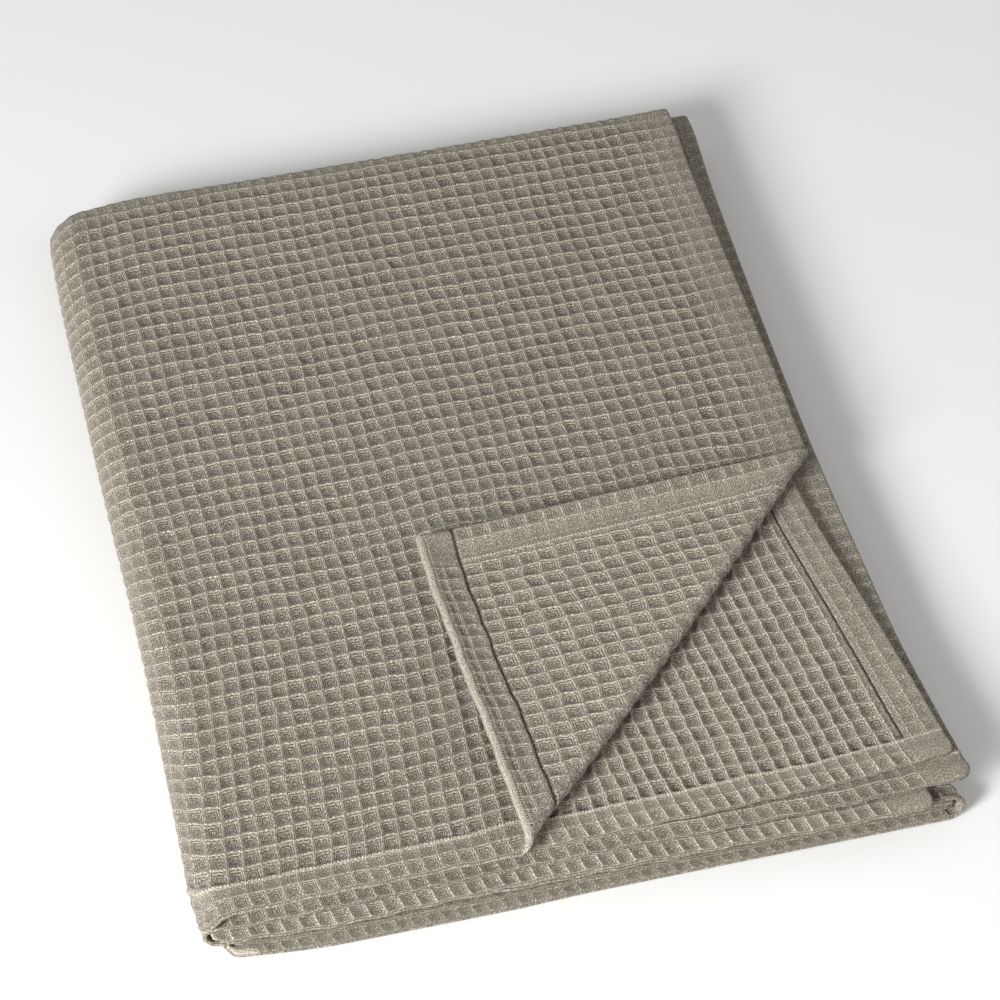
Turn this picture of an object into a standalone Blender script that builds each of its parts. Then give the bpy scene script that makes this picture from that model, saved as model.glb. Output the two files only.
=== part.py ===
"""A waffle weave cotton blanket, about 1.4 m by 2 m, folded into a stack of eight layers.

The cloth is one piece with a broad sewn hem on its four sides. It is folded in this order:
  1. in half from front to back, so that it is double, with a soft fold along the back;
  2. in half from left to right, and in half once more, which leaves a nest of folds on the
     left, one fold low on the right, and free hems along the front and high on the right;
  3. the top layer's front right corner is turned back over the stack along a diagonal.

Lengths are in metres. +X is to the right, +Y to the back and +Z up. The origin is on the
surface that the stack lies on, under the middle of its bounding box.
"""

import math

import bmesh
import bpy
import numpy as np

# The cloth
CLOTH_THICK = 0.0034
HEM_THICK = 0.0052
HEM_WIDTH = 0.027
HEM_SHOULDER = 0.0015  # the hem's thickness runs out over this width at its stitch line
PRESSED_STATIONS = (1.6, 3.4)  # the lowest layer, whose front hem is pressed flat

# The stack
LAYER_STEP = 0.00625  # from the middle of one layer to the middle of the next
LAYERS_ABOVE_LOWEST = 3.5  # the lowest layer's middle is this many steps under the stack's middle
NOMINAL_WIDTH = 0.478  # one layer from its right hem to where the left fold starts to turn
NOMINAL_DEPTH = 0.690  # one layer from its front hem to the back fold
CENTRE_X = -0.00147
CENTRE_Y = 0.00514

# Where the layers end on each side, from the front of the stack to its back. The first two
# layers and the third and fourth end in free hems on the right. The left folds share one
# centre line, and so do the two layers of the right fold.
SIDE_COLUMNS = ("y", "first_hem", "second_hem", "third_hem", "fourth_hem", "left_fold", "right_fold")
SIDES = (
    (-0.350, 0.2350, 0.2545, 0.2600, 0.2290, -0.2389, 0.2410),
    (-0.300, 0.2360, 0.2500, 0.2560, 0.2310, -0.2344, 0.2375),
    (-0.200, 0.2375, 0.2390, 0.2500, 0.2330, -0.2296, 0.2350),
    (-0.060, 0.2395, 0.2240, 0.2490, 0.2360, -0.2248, 0.2340),
    (0.060, 0.2425, 0.2220, 0.2515, 0.2400, -0.2235, 0.2360),
    (0.180, 0.2435, 0.2300, 0.2558, 0.2470, -0.2210, 0.2400),
    (0.260, 0.2445, 0.2390, 0.2592, 0.2540, -0.2190, 0.2430),
    (0.330, 0.2475, 0.2470, 0.2645, 0.2620, -0.2155, 0.2450),
)

# How far forward the hems reach and how far back the back fold lies, along the folded width.
# A station counts the stretches of the doubled cloth's section: 0 to 1 is the top pair of
# layers from right to left, 1 to 2 the outer left fold, 2 to 3 the lowest pair from left to
# right, 3 to 4 the right fold, 4 to 5 the next pair from right to left, 5 to 6 the inner left
# fold, and 6 to 7 the second pair from the top, from left to right.
FRONT_COLUMNS = ("station", "outer_front", "inner_front", "back")
FRONTS = (
    (0.00, -0.338, -0.328, 0.3430),
    (0.18, -0.342, -0.338, 0.3425),
    (0.60, -0.346, -0.339, 0.3410),
    (0.90, -0.348, -0.337, 0.3400),
    (1.00, -0.349, -0.336, 0.3350),
    (1.50, -0.330, -0.329, 0.3275),
    (2.00, -0.343, -0.341, 0.3320),
    (2.15, -0.349, -0.346, 0.3370),
    (2.50, -0.354, -0.350, 0.3400),
    (3.00, -0.353, -0.349, 0.3390),
    (3.50, -0.352, -0.348, 0.3360),
    (4.00, -0.352, -0.350, 0.3390),
    (4.50, -0.352, -0.350, 0.3400),
    (5.00, -0.349, -0.348, 0.3340),
    (5.50, -0.350, -0.348, 0.3310),
    (6.00, -0.357, -0.352, 0.3340),
    (6.15, -0.360, -0.351, 0.3390),
    (6.45, -0.356, -0.348, 0.3410),
    (6.80, -0.360, -0.349, 0.3430),
    (7.00, -0.361, -0.346, 0.3450),
)

# How full the stack is from front to back, as a share of its even thickness: the hems fill
# its front, and its layers close up towards the back fold.
FULLNESS_COLUMNS = ("y", "share")
FULLNESS = ((-0.350, 1.035), (-0.325, 1.030), (-0.290, 1.000), (0.310, 1.000), (0.330, 0.965), (0.350, 0.925))

# The stack's thickness wanders softly from place to place, as a share of it, in slow waves
SOFT_RISE = 0.018
SOFT_WAVE_X = (9.0, 1.3)  # radians per metre, and radians at the middle
SOFT_WAVE_Y = (7.0, -0.6)

# The turned corner: a diagonal from the right edge to the front edge
CREASE_START = (0.2360, -0.0420)
CREASE_END = (-0.0400, -0.3350)
CREASE_RADIUS = 0.0033
CREASE_PUFF = 0.0020  # how much higher the turned cloth stands just past the crease
PUFF_LENGTH = 0.016
FREE_EDGE_LIFT = 0.0020  # the turned hem along the front stands off the layer below
FREE_EDGE_RUN = 0.05  # and comes to do so over this much of its length from the crease
CREASE_CUTS = 5

# The mesh: how many faces each stretch of the section has, and the rows from front to back
STRETCH_FACES = (8, 8, 7, 6, 6, 6, 7)
BACK_FOLD_FACES = 6
DEPTH_SHARES = (0.10, 0.20, 0.31, 0.42, 0.53, 0.64, 0.75, 0.86, 0.94, 0.98, 1.0)
HEM_ROWS = 3

COTTON_COLOUR = (0.262, 0.235, 0.191, 1.0)
COTTON_ROUGHNESS = 0.95


def column(table, names, name):
    """One named column of a table."""
    return [row[names.index(name)] for row in table]


def read(table, names, name, at):
    """The value of a named column, read between the rows of the table's first column."""
    return float(np.interp(at, column(table, names, names[0]), column(table, names, name)))


def mix(a, b, share):
    return a + (b - a) * share


def fullness(x, y):
    """The stack's thickness at a place, as a share of its even thickness."""
    wander = math.sin(SOFT_WAVE_X[0] * x + SOFT_WAVE_X[1]) * math.cos(SOFT_WAVE_Y[0] * y + SOFT_WAVE_Y[1])
    return read(FULLNESS, FULLNESS_COLUMNS, "share", y) + SOFT_RISE * wander


def section_point(station, offset, y):
    """Where the doubled cloth's section runs at one depth: x, and the level in layer steps.

    The offset is 0.5 on the outer half of the doubled cloth, the one that shows on top, and
    -0.5 on its inner half. Level 0 is the middle of the stack.
    """
    inner_share = 0.5 - offset
    top_hem = mix(*(read(SIDES, SIDE_COLUMNS, n, y) for n in ("first_hem", "second_hem")), inner_share)
    low_hem = mix(*(read(SIDES, SIDE_COLUMNS, n, y) for n in ("fourth_hem", "third_hem")), inner_share)
    left = read(SIDES, SIDE_COLUMNS, "left_fold", y)
    right = read(SIDES, SIDE_COLUMNS, "right_fold", y)
    stretch = min(int(station), 6)
    share = station - stretch
    turn = math.pi * share
    if stretch == 0:
        return mix(top_hem, left, share), 3 + offset
    if stretch == 1:
        radius = 3 + offset
        return left - radius * LAYER_STEP * math.sin(turn), radius * math.cos(turn)
    if stretch == 2:
        return mix(left, right, share), -3 - offset
    if stretch == 3:
        radius = 1 + offset
        return right + radius * LAYER_STEP * math.sin(turn), -2 - radius * math.cos(turn)
    if stretch == 4:
        return mix(right, left, share), -1 + offset
    if stretch == 5:
        radius = 1 - offset
        return left - radius * LAYER_STEP * math.sin(turn), -radius * math.cos(turn)
    return mix(left, low_hem, share), 1 - offset


def cloth_point(station, depth_share, turn):
    """A point of the folded cloth, before its corner is turned.

    The depth share runs from 0 at the front hem to 1 at the back fold, and the turn from 0
    on the outer half to pi on the inner half.
    """
    inner_share = (1 - math.cos(turn)) / 2
    outer_front = read(FRONTS, FRONT_COLUMNS, "outer_front", station)
    inner_front = read(FRONTS, FRONT_COLUMNS, "inner_front", station)
    back = read(FRONTS, FRONT_COLUMNS, "back", station)
    y = mix(mix(outer_front, inner_front, inner_share), back, depth_share)
    y += LAYER_STEP / 2 * math.sin(turn)
    x, level = section_point(station, math.cos(turn) / 2, y)
    height = (level + LAYERS_ABOVE_LOWEST) * LAYER_STEP * fullness(x, y)
    return x, y, CLOTH_THICK / 2 + height


def stations():
    """The section's stations, with one at the inner edge of each side hem and its shoulder."""
    found = {0.0}
    for stretch, faces in enumerate(STRETCH_FACES):
        found |= {stretch + (i + 1) / faces for i in range(faces)}
    hem = HEM_WIDTH / NOMINAL_WIDTH
    shoulder = (HEM_WIDTH + HEM_SHOULDER) / NOMINAL_WIDTH
    return sorted(found | {hem, shoulder, 7 - hem, 7 - shoulder})


def depth_rows():
    """(depth share, turn) of each row, from the outer half's front hem over the back fold to
    the inner half's front hem."""
    hem = [HEM_WIDTH * i / HEM_ROWS / NOMINAL_DEPTH for i in range(HEM_ROWS + 1)]
    shares = hem + [(HEM_WIDTH + HEM_SHOULDER) / NOMINAL_DEPTH, *DEPTH_SHARES]
    outer = [(share, 0.0) for share in shares]
    fold = [(1.0, math.pi * i / BACK_FOLD_FACES) for i in range(1, BACK_FOLD_FACES)]
    inner = [(share, math.pi) for share in reversed(shares)]
    return outer + fold + inner


def is_hem(station, depth_share, turn):
    """Whether a point lies on a hem that is raised: the lowest layer's is pressed flat."""
    outer = turn < math.pi / 2
    lowest = outer and PRESSED_STATIONS[0] < station < PRESSED_STATIONS[1]
    side = min(station, 7 - station) * NOMINAL_WIDTH
    front = depth_share * NOMINAL_DEPTH
    return not lowest and min(side, front) < HEM_WIDTH + HEM_SHOULDER / 2


def crease_frame():
    """The crease's direction, and the direction across it towards the corner."""
    start, end = np.array(CREASE_START), np.array(CREASE_END)
    along = (start - end) / np.linalg.norm(start - end)
    return start, along, np.array((along[1], -along[0]))


def turned_back(point):
    """A point of the top layer, taken over the crease if it lies on the corner's side of it."""
    start, along, across = crease_frame()
    flat = np.array(point[:2])
    past = float((flat - start) @ across)
    if past <= 0:
        return point
    turn = min(past / CREASE_RADIUS, math.pi)
    back = max(past - math.pi * CREASE_RADIUS, 0.0)
    moved = CREASE_RADIUS * math.sin(turn) - back
    rise = CREASE_RADIUS * (1 - math.cos(turn))
    puff = CREASE_PUFF * math.sin(turn / 2) * math.exp(-back / PUFF_LENGTH)
    x, y = flat + across * (moved - past)
    return float(x), float(y), point[2] + rise + puff


def free_edge_lift(depth_share, past):
    """How far the turned front hem stands off the layer that it lies on."""
    near_edge = max(0.0, 1 - depth_share * NOMINAL_DEPTH / HEM_WIDTH)
    well_past = min(1.0, max(0.0, past / FREE_EDGE_RUN))
    return FREE_EDGE_LIFT * near_edge * well_past


def sheet():
    """The folded cloth as an open sheet, and the weight of its raised hems at each vertex."""
    columns, rows = stations(), depth_rows()
    mesh = bmesh.new()
    bmesh.ops.create_grid(mesh, x_segments=len(columns) - 1, y_segments=len(rows) - 1, size=0.5)
    station_layer = mesh.verts.layers.float.new("station")
    depth_layer = mesh.verts.layers.float.new("depth")
    hem_layer = mesh.verts.layers.float.new("hem")
    top = []
    for vertex in mesh.verts:
        i = round((vertex.co.x + 0.5) * (len(columns) - 1))
        j = round((vertex.co.y + 0.5) * (len(rows) - 1))
        depth_share, turn = rows[j]
        vertex.co = cloth_point(columns[i], depth_share, turn)
        vertex[station_layer] = columns[i]
        vertex[depth_layer] = depth_share
        vertex[hem_layer] = float(is_hem(columns[i], depth_share, turn))
        if turn == 0 and columns[i] <= 1:
            top.append(vertex)
    turn_corner(mesh, top, depth_layer)
    bmesh.ops.recalc_face_normals(mesh, faces=mesh.faces)
    return mesh, hem_layer


def turn_corner(mesh, top, depth_layer):
    """Cuts the top layer along the crease's bend and turns its corner back."""
    start, along, across = crease_frame()
    top = set(top)
    for cut in range(CREASE_CUTS):
        past = math.pi * CREASE_RADIUS * cut / (CREASE_CUTS - 1)
        faces = [face for face in mesh.faces if all(vertex in top for vertex in face.verts)]
        edges = {edge for face in faces for edge in face.edges}
        verts = {vertex for face in faces for vertex in face.verts}
        at = start + across * past
        found = bmesh.ops.bisect_plane(
            mesh,
            geom=[*faces, *edges, *verts],
            plane_co=(at[0], at[1], 0.0),
            plane_no=(across[0], across[1], 0.0),
        )
        top |= {item for item in found["geom_cut"] if isinstance(item, bmesh.types.BMVert)}
    for vertex in top:
        past = float((np.array(vertex.co[:2]) - start) @ across)
        x, y, z = turned_back(tuple(vertex.co))
        vertex.co = (x, y, z + free_edge_lift(vertex[depth_layer], past))


def cotton():
    material = bpy.data.materials.new("waffle cotton")
    material.use_nodes = True
    shader = material.node_tree.nodes["Principled BSDF"]
    shader.inputs["Base Color"].default_value = COTTON_COLOUR
    shader.inputs["Roughness"].default_value = COTTON_ROUGHNESS
    shader.inputs["Metallic"].default_value = 0.0
    return material


def blanket(collection):
    """The blanket: the folded sheet, thickened evenly and more at its hems."""
    shape, hem_layer = sheet()
    bmesh.ops.translate(shape, vec=(CENTRE_X, CENTRE_Y, 0.0), verts=shape.verts)
    weights = [vertex[hem_layer] for vertex in shape.verts]
    data = bpy.data.meshes.new("blanket")
    shape.to_mesh(data)
    shape.free()
    data.materials.append(cotton())
    data.shade_smooth()
    cloth = bpy.data.objects.new("blanket", data)
    collection.objects.link(cloth)
    hems = cloth.vertex_groups.new(name="hems")
    for index, weight in enumerate(weights):
        hems.add([index], weight, "REPLACE")
    solid = cloth.modifiers.new("thickness", "SOLIDIFY")
    solid.thickness = HEM_THICK
    solid.offset = 0.0
    solid.vertex_group = "hems"
    solid.thickness_vertex_group = CLOTH_THICK / HEM_THICK
    return cloth


def main():
    for item in list(bpy.data.objects):
        bpy.data.objects.remove(item)
    collection = bpy.data.collections.new("waffle weave blanket")
    bpy.context.scene.collection.children.link(collection)
    blanket(collection)


main()
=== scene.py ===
# %% [markdown]
# A folded waffle weave cotton blanket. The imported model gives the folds' size and place. This
# script lays a finer cloth on the same folds: the raised square cells of the weave, the sewn
# hems, the turned corner's roll, and the yarns in the material.

# %% Load the frame
import math

import bpy
import numpy as np
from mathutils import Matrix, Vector


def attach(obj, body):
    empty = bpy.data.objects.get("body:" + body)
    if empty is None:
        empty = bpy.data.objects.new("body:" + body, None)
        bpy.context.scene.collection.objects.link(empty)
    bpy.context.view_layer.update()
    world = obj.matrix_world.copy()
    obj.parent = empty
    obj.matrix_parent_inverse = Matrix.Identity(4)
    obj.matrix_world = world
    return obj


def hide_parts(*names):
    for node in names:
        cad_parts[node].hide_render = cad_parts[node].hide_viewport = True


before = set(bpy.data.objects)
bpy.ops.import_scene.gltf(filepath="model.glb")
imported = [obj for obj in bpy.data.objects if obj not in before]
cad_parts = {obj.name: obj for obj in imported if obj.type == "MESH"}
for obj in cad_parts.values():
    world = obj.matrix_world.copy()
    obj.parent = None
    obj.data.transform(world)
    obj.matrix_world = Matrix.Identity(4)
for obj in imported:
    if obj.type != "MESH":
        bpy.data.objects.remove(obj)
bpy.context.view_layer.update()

# %% [markdown]
# The camera comes first, because every look at the work goes through it. It is a long lens
# from far off: the stack's far end looks only a little smaller than its near end. It looks
# down at 45 degrees, from the front and a little from the left.

# %% Camera
STACK_HEIGHT = 0.050
LOOK_AT = Vector((0.0155, -0.0339, STACK_HEIGHT))
CAMERA_AWAY = 2.783
CAMERA_TURN = math.radians(-14.23)
CAMERA_UP = math.radians(45.46)

to_camera = Vector((
    math.sin(CAMERA_TURN) * math.cos(CAMERA_UP),
    -math.cos(CAMERA_TURN) * math.cos(CAMERA_UP),
    math.sin(CAMERA_UP),
))


def put(thing, place, direction):
    """Puts a camera or a lamp in the scene, looking in a direction."""
    thing.location = place
    thing.rotation_mode = "QUATERNION"
    thing.rotation_quaternion = direction.to_track_quat("-Z", "Y")
    bpy.context.scene.collection.objects.link(thing)


camera = bpy.data.objects.new("camera", bpy.data.cameras.new("camera"))
camera.data.lens = 144.0
camera.data.sensor_width = 36.0
camera.data.clip_end = 20.0
put(camera, LOOK_AT + to_camera * CAMERA_AWAY, -to_camera)
bpy.context.scene.camera = camera
print("the camera is", CAMERA_AWAY, "m away")

# %% [markdown]
# The light is a plain studio: one wide soft lamp on the front left, which gives each cell of
# the weave a dark side and a light side, a weak one on the right that fills the shadows, and a
# pale room.

# %% Light and floor
def soft_lamp(name, place, size, watts):
    """A square area lamp that points at the stack."""
    lamp = bpy.data.lights.new(name, "AREA")
    lamp.size = size
    lamp.energy = watts
    put(bpy.data.objects.new(name, lamp), place, LOOK_AT - Vector(place))


ROOM_LIGHT = 0.39
soft_lamp("main_lamp", place=(-2.12, -1.92, 1.50), size=1.0, watts=137.0)
soft_lamp("fill_lamp", place=(2.2, -1.6, 1.9), size=2.5, watts=13.0)

room = bpy.data.worlds.new("room")
bpy.context.scene.world = room
room.use_nodes = True
room_light = room.node_tree.nodes["Background"]
room_light.inputs["Color"].default_value = (1.0, 1.0, 1.0, 1.0)
room_light.inputs["Strength"].default_value = ROOM_LIGHT
bpy.context.scene.view_settings.view_transform = "Standard"

bpy.ops.object.select_all(action="DESELECT")
bpy.ops.mesh.primitive_plane_add(size=30.0, location=(0.0, 0.0, -0.0005))
floor = bpy.context.object
floor.name = "floor"
pale = bpy.data.materials.new("pale_floor")
pale.use_nodes = True
pale_shader = pale.node_tree.nodes["Principled BSDF"]
pale_shader.inputs["Base Color"].default_value = (0.92, 0.92, 0.91, 1.0)
pale_shader.inputs["Roughness"].default_value = 0.9
floor.data.materials.append(pale)

# %% [markdown]
# The folds are those of the solid. Seen from the front, the doubled cloth runs from its free
# hems at the upper right, over to the left, round, back under the whole stack, round again low
# on the right, and so on. A station counts those stretches. Tables say where each of them ends,
# at a few depths, and a smooth curve runs through each table's points.

# %% The folds' sizes
CLOTH = 0.0042
HEM_EDGE = 0.0050  # the cloth's thickness at the edge of a hem
LAYER_STEP = 0.00625
LAYERS_BELOW_MIDDLE = 3.5
CENTRE = np.array((-0.00147, 0.00514, 0.0))

SIDE_COLUMNS = ("y", "first_hem", "second_hem", "third_hem", "fourth_hem", "left_fold", "right_fold")
SIDES = np.array((
    (-0.350, 0.2350, 0.2545, 0.2600, 0.2290, -0.2389, 0.2410),
    (-0.300, 0.2360, 0.2500, 0.2560, 0.2310, -0.2344, 0.2375),
    (-0.200, 0.2375, 0.2390, 0.2500, 0.2330, -0.2296, 0.2350),
    (-0.060, 0.2395, 0.2240, 0.2490, 0.2360, -0.2248, 0.2340),
    (0.060, 0.2425, 0.2220, 0.2515, 0.2400, -0.2235, 0.2360),
    (0.180, 0.2435, 0.2300, 0.2558, 0.2470, -0.2210, 0.2400),
    (0.260, 0.2445, 0.2390, 0.2592, 0.2540, -0.2190, 0.2430),
    (0.330, 0.2475, 0.2470, 0.2645, 0.2620, -0.2155, 0.2450),
))
FRONT_COLUMNS = ("station", "outer_front", "inner_front", "back")
FRONTS = np.array((
    (0.00, -0.338, -0.328, 0.3430),
    (0.18, -0.342, -0.335, 0.3425),
    (0.60, -0.346, -0.340, 0.3410),
    (0.90, -0.348, -0.343, 0.3400),
    (1.00, -0.349, -0.344, 0.3350),
    (1.18, -0.342, -0.336, 0.3300),
    (1.50, -0.322, -0.321, 0.3275),
    (1.80, -0.330, -0.328, 0.3300),
    (2.00, -0.350, -0.346, 0.3320),
    (2.15, -0.356, -0.351, 0.3370),
    (2.35, -0.356, -0.351, 0.3390),
    (2.50, -0.354, -0.350, 0.3400),
    (3.00, -0.353, -0.349, 0.3390),
    (3.50, -0.352, -0.348, 0.3360),
    (4.00, -0.352, -0.350, 0.3390),
    (4.50, -0.352, -0.350, 0.3400),
    (5.00, -0.349, -0.348, 0.3340),
    (5.50, -0.350, -0.348, 0.3310),
    (6.00, -0.357, -0.352, 0.3340),
    (6.15, -0.360, -0.351, 0.3390),
    (6.45, -0.356, -0.348, 0.3410),
    (6.80, -0.360, -0.349, 0.3430),
    (7.00, -0.361, -0.346, 0.3450),
))
FULLNESS_COLUMNS = ("y", "share")
FULLNESS = np.array((
    (-0.350, 1.035), (-0.325, 1.030), (-0.290, 1.000), (0.310, 1.000), (0.330, 0.965), (0.350, 0.925),
))
SOFT_RISE = 0.018
print("the folds are given at", len(SIDES), "depths and", len(FRONTS), "stations")

# %% [markdown]
# A table is read along a smooth curve through its points. The curve never swings past a point,
# so a fold keeps the widths that the photo shows. The cloth's section at a depth is then a row
# of flat stretches with a half circle at each fold.

# %% The section of the folds
def soft_read(table, columns, name, at):
    """A named column of a table, read along a smooth curve that never overshoots its points."""
    knots, values = table[:, 0], table[:, columns.index(name)]
    step = np.diff(knots)
    rise = np.diff(values) / step
    slope = np.zeros_like(values)
    slope[0], slope[-1] = rise[0], rise[-1]
    before, after = rise[:-1], rise[1:]
    same = before * after > 0
    slope[1:-1][same] = 2 * before[same] * after[same] / (before[same] + after[same])
    at = np.clip(at, knots[0], knots[-1])
    k = np.clip(np.searchsorted(knots, at, side="right") - 1, 0, len(step) - 1)
    t = (at - knots[k]) / step[k]
    return (
        values[k] * (2 * t**3 - 3 * t**2 + 1)
        + values[k + 1] * (3 * t**2 - 2 * t**3)
        + step[k] * (slope[k] * (t**3 - 2 * t**2 + t) + slope[k + 1] * (t**3 - t**2))
    )


def side(name, y):
    return soft_read(SIDES, SIDE_COLUMNS, name, y)


def fronts(name, station):
    return soft_read(FRONTS, FRONT_COLUMNS, name, station)


def mix(a, b, share):
    return a + (b - a) * share


def smooth_step(low, high, at):
    share = np.clip((at - low) / (high - low), 0, 1)
    return share * share * (3 - 2 * share)


def between(rise, fall, at):
    """1 between two soft ends, each given as a pair, and 0 outside them."""
    return smooth_step(*rise, at) * (1 - smooth_step(*fall, at))


def fullness(x, y):
    """The share of its full height that the stack has at a place."""
    wander = np.sin(9.0 * x + 1.3) * np.cos(7.0 * y - 0.6)
    return soft_read(FULLNESS, FULLNESS_COLUMNS, "share", y) + SOFT_RISE * wander


def section(station, offset, y):
    """x and the level in layer steps, of the doubled cloth's section at a depth."""
    inner = 0.5 - offset
    top = mix(side("first_hem", y), side("second_hem", y), inner)
    low = mix(side("fourth_hem", y), side("third_hem", y), inner)
    left, right = side("left_fold", y), side("right_fold", y)
    stretch = np.minimum(station.astype(int), 6)
    share = station - stretch
    out, down = np.sin(np.pi * share) * LAYER_STEP, np.cos(np.pi * share)
    x = np.choose(stretch, (
        mix(top, left, share),
        left - (3 + offset) * out,
        mix(left, right, share),
        right + (1 + offset) * out,
        mix(right, left, share),
        left - (1 - offset) * out,
        mix(left, low, share),
    ))
    flat = np.ones_like(x)
    level = np.choose(stretch, (
        (3 + offset) * flat,
        (3 + offset) * down,
        (-3 - offset) * flat,
        -2 - (1 + offset) * down,
        (-1 + offset) * flat,
        -(1 - offset) * down,
        (1 - offset) * flat,
    ))
    return x, level


# %% [markdown]
# The front right corner of the top layer is turned back over a diagonal crease. The cloth rolls
# over it rather than folding flat, so the crease is a soft lip, bowed a little at its middle.

# %% The turned corner
CREASE_START = np.array((0.2360, -0.0420))
CREASE_END = np.array((-0.0400, -0.3350))
CREASE_LENGTH = np.linalg.norm(CREASE_START - CREASE_END)
CREASE_ALONG = (CREASE_END - CREASE_START) / CREASE_LENGTH
CREASE_ACROSS = np.array((-CREASE_ALONG[1], CREASE_ALONG[0]))
CREASE_BOW = 0.004
BOW_RUN = 0.06
CREASE_RADIUS = 0.0033
CREASE_PUFF = 0.0022
PUFF_LENGTH = 0.018
FRONT_EDGE_LIFT = 0.0045
SIDE_EDGE_LIFT = 0.0042
FRONT_EDGE_RUN = 0.027
SIDE_EDGE_RUN = 0.020
FREE_EDGE_RUN = 0.05


def past_crease(x, y):
    """How far a place lies past the bowed crease towards the corner, and the bow there."""
    from_start = np.stack((x, y), -1) - CREASE_START
    share = np.clip(from_start @ CREASE_ALONG / CREASE_LENGTH, 0, 1)
    bow = 4 * CREASE_BOW * share * (1 - share)
    return from_start @ CREASE_ACROSS - bow, bow


def turned_back(x, y, z, past, bow, from_front, from_side):
    """Takes the places past the crease round its roll and back onto the top layer."""
    turn = np.clip(past / CREASE_RADIUS, 0, np.pi)
    back = np.maximum(past - np.pi * CREASE_RADIUS, 0)
    eased = 2 * bow * (1 - np.exp(-back / BOW_RUN))
    moved = CREASE_RADIUS * np.sin(turn) - back - past - eased
    rise = CREASE_RADIUS * (1 - np.cos(turn))
    rise += CREASE_PUFF * np.sin(turn / 2) * np.exp(-back / PUFF_LENGTH)
    lifted = FRONT_EDGE_LIFT * np.clip(1 - from_front / FRONT_EDGE_RUN, 0, 1) ** 1.5
    lifted = np.maximum(lifted, SIDE_EDGE_LIFT * np.clip(1 - from_side / SIDE_EDGE_RUN, 0, 1))
    rise += lifted * np.clip(past / FREE_EDGE_RUN, 0, 1)
    turned = past > 0
    x = np.where(turned, x + CREASE_ACROSS[0] * moved, x)
    y = np.where(turned, y + CREASE_ACROSS[1] * moved, y)
    return x, y, np.where(turned, z + rise, z)


print("the crease is", round(float(CREASE_LENGTH), 3), "m long")

# %% [markdown]
# The weave is counted in cells: columns from the first side hem to the last one, rows from the
# front hem of the outer half, over the back fold, to the front hem of the inner half. A place
# on the cloth is then a column and a row. The knots are the columns at the whole stations.

# %% Cells on the cloth
COLUMN_KNOTS = (0, 43.5, 49.5, 93, 95.5, 139, 140.5, 184)
COLUMNS = COLUMN_KNOTS[-1]
LEFT_FOLD_COLUMN = (COLUMN_KNOTS[1] + COLUMN_KNOTS[2]) / 2
LOWEST_FROM, LOWEST_TO = COLUMN_KNOTS[2:4]  # the part that lies on the floor
THIRD_LAYER_FROM = COLUMN_KNOTS[6]
ROWS = 104
CELL_WIDE = 0.0107
CELL_LONG = 0.01335
FOLD_ROWS = math.pi * LAYER_STEP / 2 / CELL_LONG


def station_at(column):
    return np.interp(column, COLUMN_KNOTS, range(len(COLUMN_KNOTS)))


def cell_at(column, row):
    """The numbers of the cell that a place is in."""
    i = np.clip(np.floor(column).astype(int), 0, COLUMNS)
    j = np.clip(np.floor(row).astype(int), 0, ROWS)
    return i, j


def edge_distance(column, row):
    """Columns to the nearest side edge, and rows to the nearest front edge."""
    return np.minimum(column, COLUMNS - column), np.minimum(row, ROWS - row)


def on_outer_half(column, row):
    """Whether a place is on the outer half, and not yet under the stack."""
    return (row < ROWS / 2) & (column < LOWEST_FROM)


print("the cloth has", COLUMNS, "by", ROWS, "cells of", CELL_WIDE * 1000, "by", CELL_LONG * 1000, "mm")

# %% [markdown]
# No weave is quite even. Each corner of a cell sits a little off its place, whole rows wave
# slowly, washing draws the ridges into small arches, and the layers lean where hands pulled them
# straight. The random numbers are fixed, so each run gives the same cloth.

# %% The weave's unevenness
NODE_SPREAD = 0.045  # in cells
SLOW_SPREAD = 0.12
dice = np.random.default_rng(11)
NODE_WANDER = dice.normal(0.0, NODE_SPREAD, (2, COLUMNS + 2, ROWS + 2))
SLOW_WAVES = dice.uniform((0.05, 0.05, 0.0), (0.5, 0.5, 2 * np.pi), (8, 3))


def at_node(values, column, row):
    """Values kept at the corners of the cells, read between them."""
    i, j = cell_at(column, row)
    a, b = np.clip(column - i, 0, 1), np.clip(row - j, 0, 1)
    near = values[i, j] * (1 - a) + values[i + 1, j] * a
    far = values[i, j + 1] * (1 - a) + values[i + 1, j + 1] * a
    return near * (1 - b) + far * b


def slow_wander(column, row, first):
    """A slow unevenness of the weave, from four crossing waves, about -1 to 1."""
    waves = SLOW_WAVES[first:first + 4]
    return sum(np.sin(a * column + b * row + phase) for a, b, phase in waves) / 2.5


TOP_LEAN = 1.3  # columns by which the top layer leans over its left fold at the front
TOP_LEAN_ROWS = 11
SECOND_LEAN = -1.3  # and the second layer's the other way
SECOND_LEAN_ROWS = 14


def lean(column, row):
    """Columns by which the weave is drawn sideways along the stack."""
    top = TOP_LEAN * np.exp(-((row / TOP_LEAN_ROWS) ** 2))
    second = SECOND_LEAN * np.exp(-(((ROWS - row) / SECOND_LEAN_ROWS) ** 2))
    return top * between((12, 43), (53, 75), column) + second * between((2.5, 24), (30, 45), column)


CORNER_ROUND = 0.011
TIP_ROUND = 0.004  # the turned corner's own


def rounded_corner(column, row):
    """Draws the square corners of the cloth in to round ones."""
    across, along = edge_distance(column, row)
    radius = np.where((column < COLUMNS / 2) & (row < ROWS / 2), TIP_ROUND, CORNER_ROUND)
    u = np.clip(1 - across * CELL_WIDE / radius, 0, 1)
    v = np.clip(1 - along * CELL_LONG / radius, 0, 1)
    inward = u * (1 - np.sqrt(1 - v * v / 2)) * radius / CELL_WIDE
    upward = v * (1 - np.sqrt(1 - u * u / 2)) * radius / CELL_LONG
    return (
        column + np.where(column < COLUMNS / 2, inward, -inward),
        row + np.where(row < ROWS / 2, upward, -upward),
    )


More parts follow.
